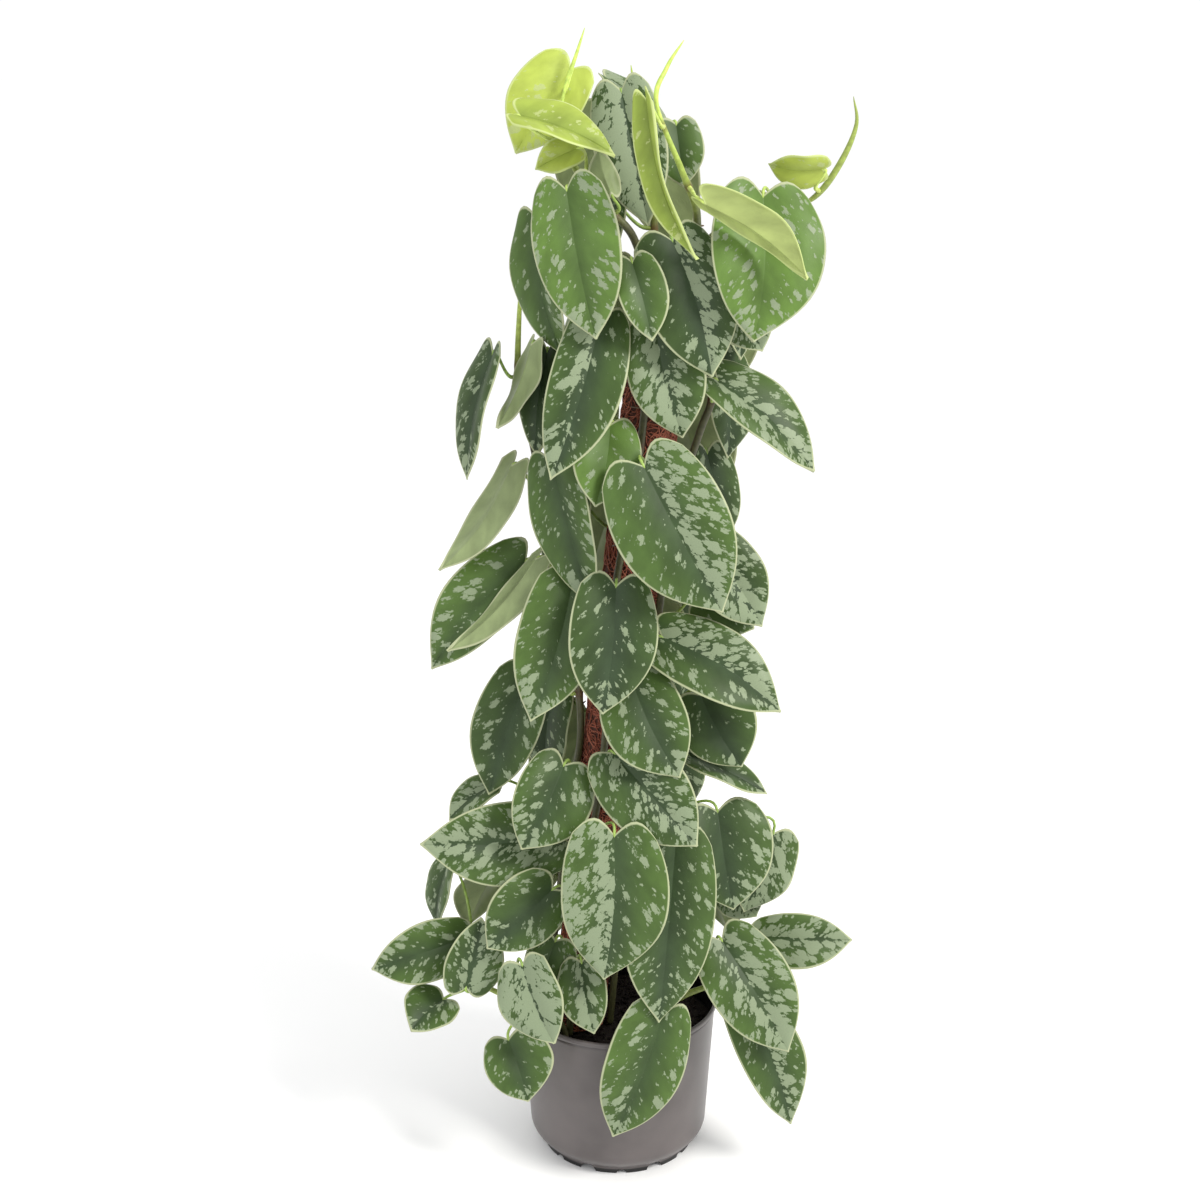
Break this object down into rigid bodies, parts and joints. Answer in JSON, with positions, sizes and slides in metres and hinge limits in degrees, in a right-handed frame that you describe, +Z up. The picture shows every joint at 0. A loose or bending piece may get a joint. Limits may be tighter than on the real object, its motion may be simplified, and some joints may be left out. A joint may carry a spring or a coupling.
{
  "type": "satin pothos climbing a coir pole in a nursery pot",
  "caption": "Satin pothos house plant: heart-shaped silver-blotched leaves on vines that climb a leaning coir pole, standing in a round plastic nursery pot.",
  "frame": {"origin": "middle of the pot's underside, on the flat centre pad that stands on the surface", "axes": "+Z up along the pot's axis, -Y towards the front of the plant, +X to its right"},
  "size_m": [0.4291, 0.2124, 0.9964],
  "materials": {
    "pot_plastic": "moulded taupe polypropylene, black inside, fine scuffs",
    "potting_soil": "dark peat compost, crumbly and matte",
    "stake_wood": "round softwood stake, sawn end",
    "coir_fibre": "matted red-brown coconut fibre",
    "vine_stem": "green to olive-brown stems with nodes, young ends yellow-green",
    "leaf_mature": "satin dark green with silver blotches, pale thin margin, paler underside",
    "leaf_young": "soft yellow-green young leaf with faint silver marks"
  },
  "bodies": {
    "root": {"nursery_pot": "pot_plastic", "potting_soil": "potting_soil", "pole_stake": "stake_wood", "coir_wrap": "coir_fibre", "vine_front": "vine_stem", "vine_left": "vine_stem", "vine_right": "vine_stem", "vine_back": "vine_stem", "vine_crown": "vine_stem", "shoot_left": "vine_stem", "shoot_right": "vine_stem", "leaf_crown_01": "leaf_young", "leaf_crown_02": "leaf_young", "leaf_crown_03": "leaf_mature", "leaf_crown_04": "leaf_mature", "leaf_crown_05": "leaf_young", "leaf_crown_06": "leaf_young", "leaf_crown_07": "leaf_mature", "leaf_crown_08": "leaf_mature", "leaf_crown_09": "leaf_mature", "leaf_upper_01": "leaf_mature", "leaf_upper_02": "leaf_mature", "leaf_upper_03": "leaf_mature", "leaf_upper_04": "leaf_mature", "leaf_upper_05": "leaf_mature", "leaf_upper_06": "leaf_mature", "leaf_upper_07": "leaf_mature", "leaf_upper_08": "leaf_mature", "leaf_upper_09": "leaf_mature", "leaf_middle_01": "leaf_mature", "leaf_middle_02": "leaf_mature", "leaf_middle_03": "leaf_mature", "leaf_middle_04": "leaf_mature", "leaf_middle_05": "leaf_mature", "leaf_middle_06": "leaf_mature", "leaf_middle_07": "leaf_mature", "leaf_middle_08": "leaf_mature", "leaf_middle_09": "leaf_mature", "leaf_lower_01": "leaf_mature", "leaf_lower_02": "leaf_mature", "leaf_lower_03": "leaf_mature", "leaf_lower_04": "leaf_mature", "leaf_lower_05": "leaf_mature", "leaf_lower_06": "leaf_mature", "leaf_lower_07": "leaf_mature", "leaf_skirt_01": "leaf_mature", "leaf_skirt_02": "leaf_mature", "leaf_skirt_03": "leaf_mature", "leaf_skirt_04": "leaf_mature", "leaf_skirt_05": "leaf_mature", "leaf_skirt_06": "leaf_mature", "leaf_skirt_07": "leaf_mature", "leaf_skirt_08": "leaf_mature", "leaf_skirt_09": "leaf_mature", "leaf_rear_01": "leaf_mature", "leaf_rear_02": "leaf_mature", "leaf_rear_03": "leaf_mature", "leaf_rear_04": "leaf_mature", "leaf_rear_05": "leaf_mature", "leaf_rear_06": "leaf_mature"}
  },
  "joints": []
}
